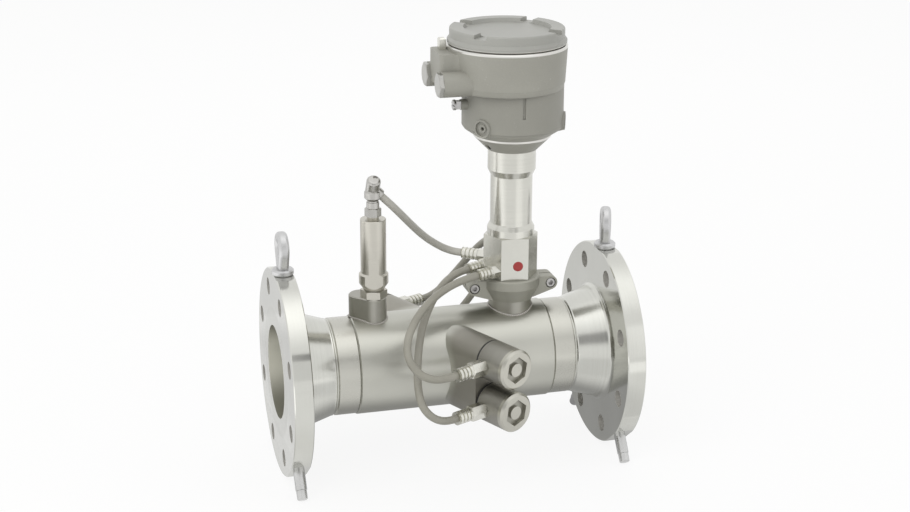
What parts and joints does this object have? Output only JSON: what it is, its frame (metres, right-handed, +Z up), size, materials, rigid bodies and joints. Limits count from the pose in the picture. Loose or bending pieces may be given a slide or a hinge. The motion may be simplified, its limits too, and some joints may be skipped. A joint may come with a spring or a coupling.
{
  "type": "ultrasonic flow meter",
  "caption": "Flanged inline ultrasonic flow meter with slanted sensor pairs, a clamped neck, a turning transmitter head under a screw cover, and a pressure cell joined by leads",
  "frame": {"origin": "on the pipe axis, half way between the two flange faces", "axes": "+X along the pipe from the inlet flange to the outlet flange, +Z up along the neck to the transmitter head, +Y to the rear, away from the side that the picture shows"},
  "size_m": [0.373, 0.2583, 0.4648],
  "materials": {
    "body_steel": "bead-blasted stainless steel",
    "flange_steel": "turned and satin-polished stainless steel",
    "eye_steel": "forged stainless steel, tumbled",
    "pin_steel": "turned stainless steel",
    "sensor_steel": "dark matte stainless steel",
    "cap_steel": "turned stainless steel",
    "transducer_steel": "turned stainless steel",
    "gland_nickel": "nickel-plated, satin",
    "seal_rubber": "matte black",
    "block_steel": "machined and polished stainless steel",
    "clamp_steel": "investment-cast stainless steel, matte",
    "screw_steel": "plain stainless screw",
    "plug_red": "muted red plastic",
    "cell_steel": "turned stainless steel",
    "connector_metal": "nickel-plated, satin",
    "lead_jacket": "grey-beige cable jacket, smooth and matte",
    "head_casting": "die casting with a matte grey coat",
    "cover_casting": "die casting with a matte grey coat, a little lighter",
    "module_plastic": "dark moulded case",
    "terminal_plastic": "green moulded terminals"
  },
  "bodies": {
    "meter": {"measuring_tube": "body_steel", "inlet_spool": "body_steel", "outlet_spool": "body_steel", "pressure_boss": "body_steel", "neck_stub": "body_steel", "inlet_flange": "flange_steel", "outlet_flange": "flange_steel", "inlet_eyebolt": "eye_steel", "outlet_eyebolt": "eye_steel", "support_pins": "pin_steel", "sensor_housing_front_upper": "sensor_steel", "sensor_cap_front_upper": "cap_steel", "transducer_front_upper": "transducer_steel", "sensor_gland_front_upper": "gland_nickel", "sensor_housing_front_lower": "sensor_steel", "sensor_cap_front_lower": "cap_steel", "transducer_front_lower": "transducer_steel", "sensor_gland_front_lower": "gland_nickel", "sensor_housing_rear_upper": "sensor_steel", "sensor_cap_rear_upper": "cap_steel", "transducer_rear_upper": "transducer_steel", "sensor_gland_rear_upper": "gland_nickel", "sensor_housing_rear_lower": "sensor_steel", "sensor_cap_rear_lower": "cap_steel", "transducer_rear_lower": "transducer_steel", "sensor_gland_rear_lower": "gland_nickel", "sensor_seals": "seal_rubber", "neck_gasket": "seal_rubber", "neck_block": "block_steel", "neck_tube": "block_steel", "retaining_nut": "block_steel", "neck_clamp_front": "clamp_steel", "neck_clamp_rear": "clamp_steel", "clamp_screws": "screw_steel", "neck_glands": "gland_nickel", "seal_plug": "plug_red", "pressure_nut": "cell_steel", "pressure_cell": "cell_steel", "connector_nut": "connector_metal", "elbow_connector": "connector_metal", "lead_front_upper": "lead_jacket", "lead_front_lower": "lead_jacket", "lead_rear_upper": "lead_jacket", "lead_rear_lower": "lead_jacket", "lead_pressure": "lead_jacket"},
    "transmitter": {"transmitter_housing": "head_casting", "entry_plug_front": "gland_nickel", "entry_plug_rear": "gland_nickel", "ground_terminal": "screw_steel", "lock_screw": "screw_steel", "cover_claw": "head_casting", "electronics_module": "module_plastic", "terminal_block": "terminal_plastic"},
    "cover_lift": {"cover_seal": "seal_rubber"},
    "cover": {"cover": "cover_casting"}
  },
  "joints": [
    {"name": "head_turn", "type": "hinge", "parent": "meter", "child": "transmitter", "pos_m": [0.069, 0, 0.23], "axis": [0, 0, 1], "range_deg": [-165, 165]},
    {"name": "cover_rise", "type": "slide", "parent": "transmitter", "child": "cover_lift", "axis": [0, 0, 1], "range_m": [0, 0.013]},
    {"name": "cover_turn", "type": "hinge", "parent": "cover_lift", "child": "cover", "pos_m": [0.062, 0, 0.33], "axis": [0, 0, 1], "range_deg": [0, 2340]}
  ],
  "couplings": [
    {"joint": "cover_rise", "follows": "cover_turn", "m_per_rad": 0.000318}
  ]
}
